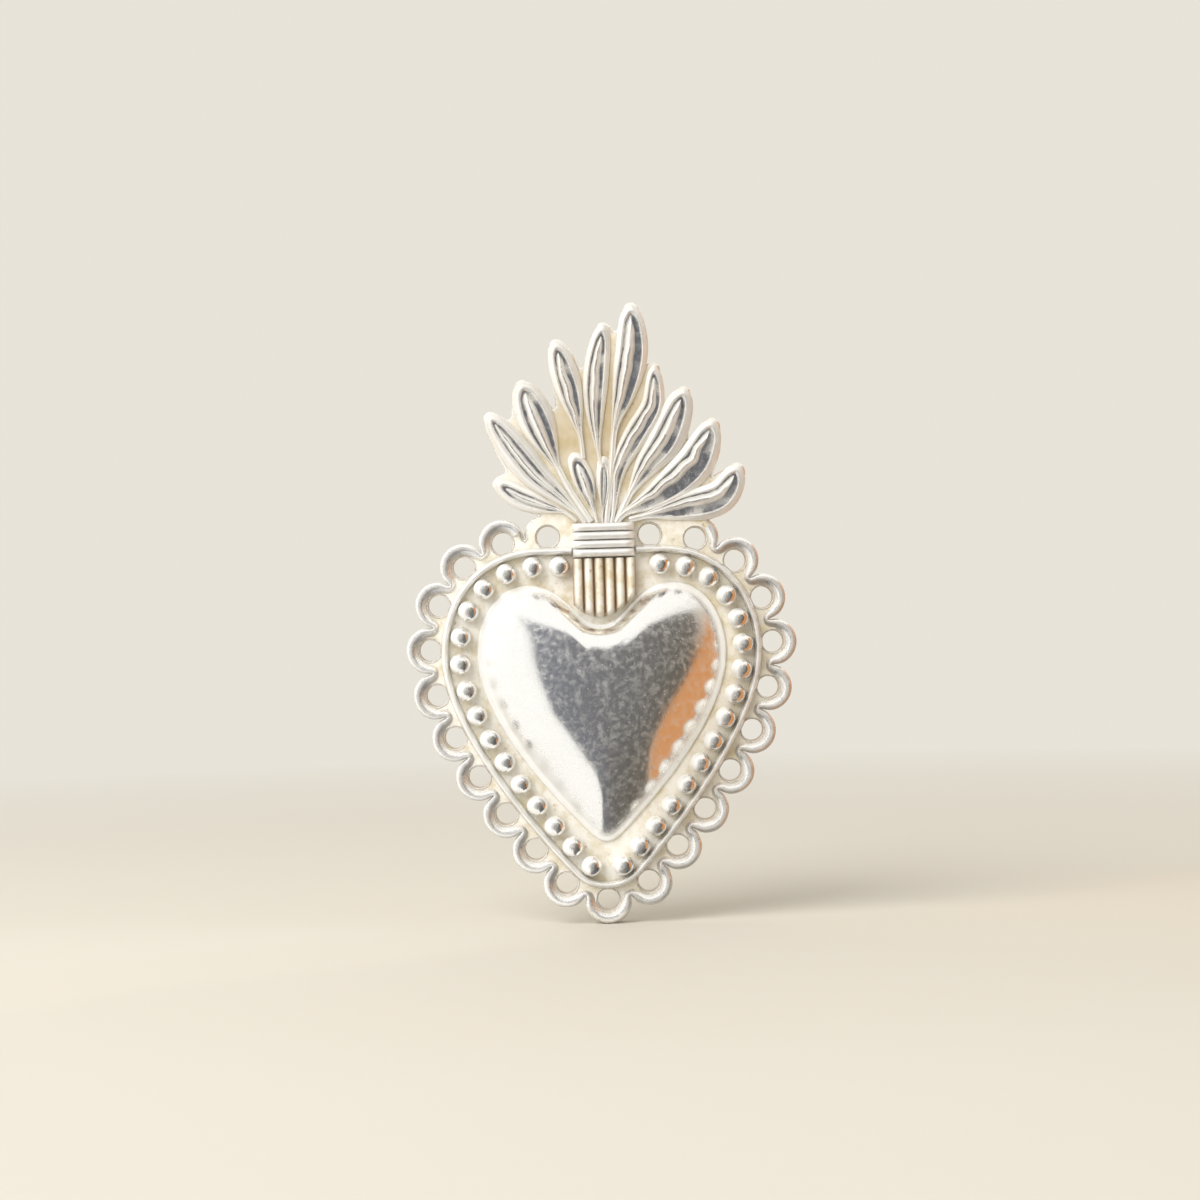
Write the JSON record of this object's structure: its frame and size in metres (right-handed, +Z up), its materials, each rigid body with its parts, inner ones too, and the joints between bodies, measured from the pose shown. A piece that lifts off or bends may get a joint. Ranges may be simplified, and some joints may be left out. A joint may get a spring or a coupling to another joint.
{
  "type": "sacred heart medal",
  "caption": "Sacred heart medal in silver: a puffed heart inside a beaded, wired and pierced lace border, with a reeded stem, a ridged collar and a crest of flame tongues.",
  "frame": {"origin": "on the flat back face, behind the middle of the heart", "axes": "+Z up towards the flames, +Y out of the flat back, +X to the right as seen from the front"},
  "size_m": [0.0162, 0.003, 0.0259],
  "materials": {
    "polished_silver": "polished silver with fine wear scratches",
    "matt_silver": "matt white silver, as left by the pickle"
  },
  "bodies": {
    "root": {"back_plate": "matt_silver", "lace_wire": "polished_silver", "rim_wire": "polished_silver", "heart_dome": "polished_silver", "stem": "matt_silver", "collar": "polished_silver", "flame_tongue_01": "polished_silver", "flame_tongue_02": "polished_silver", "flame_tongue_03": "polished_silver", "flame_tongue_04": "polished_silver", "flame_tongue_05": "polished_silver", "flame_tongue_06": "polished_silver", "flame_tongue_07": "polished_silver", "flame_tongue_08": "polished_silver", "flame_tongue_09": "polished_silver", "flame_tongue_10": "polished_silver", "flame_tongue_11": "polished_silver", "flame_tongue_12": "polished_silver", "bead_left_01": "polished_silver", "bead_left_02": "polished_silver", "bead_left_03": "polished_silver", "bead_left_04": "polished_silver", "bead_left_05": "polished_silver", "bead_left_06": "polished_silver", "bead_left_07": "polished_silver", "bead_left_08": "polished_silver", "bead_left_09": "polished_silver", "bead_left_10": "polished_silver", "bead_left_11": "polished_silver", "bead_left_12": "polished_silver", "bead_left_13": "polished_silver", "bead_left_14": "polished_silver", "bead_left_15": "polished_silver", "bead_left_16": "polished_silver", "bead_right_01": "polished_silver", "bead_right_02": "polished_silver", "bead_right_03": "polished_silver", "bead_right_04": "polished_silver", "bead_right_05": "polished_silver", "bead_right_06": "polished_silver", "bead_right_07": "polished_silver", "bead_right_08": "polished_silver", "bead_right_09": "polished_silver", "bead_right_10": "polished_silver", "bead_right_11": "polished_silver", "bead_right_12": "polished_silver", "bead_right_13": "polished_silver", "bead_right_14": "polished_silver", "bead_right_15": "polished_silver", "bead_right_16": "polished_silver"}
  },
  "joints": []
}
